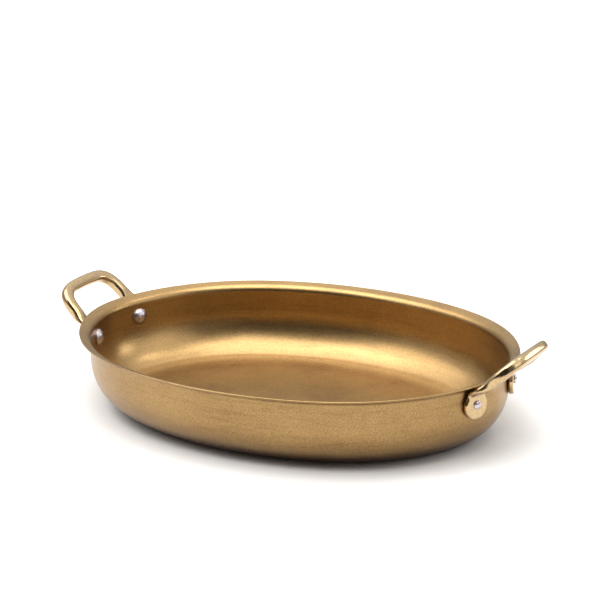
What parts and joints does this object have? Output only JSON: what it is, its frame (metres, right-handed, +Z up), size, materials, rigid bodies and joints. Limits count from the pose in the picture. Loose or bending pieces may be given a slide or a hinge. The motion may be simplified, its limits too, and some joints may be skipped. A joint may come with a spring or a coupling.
{
  "type": "oval baking dish",
  "caption": "Shallow oval metal baking dish with a flared rim, a flat base and a riveted loop handle at each end.",
  "frame": {"origin": "middle of the flat base, on the surface that the dish stands on", "axes": "+X along the dish towards the right handle, +Y across it towards the back, +Z up"},
  "size_m": [0.2936, 0.188, 0.0586],
  "materials": {
    "dish": "satin antique gold, finely tumbled outside and darker inside the upper wall",
    "handle": "cast and polished gold",
    "rivet": "smooth silver-coloured steel"
  },
  "bodies": {
    "root": {"dish_body": "dish", "left_handle": "handle", "right_handle": "handle", "rivet_left_front": "rivet", "rivet_left_back": "rivet", "rivet_right_front": "rivet", "rivet_right_back": "rivet"}
  },
  "joints": []
}
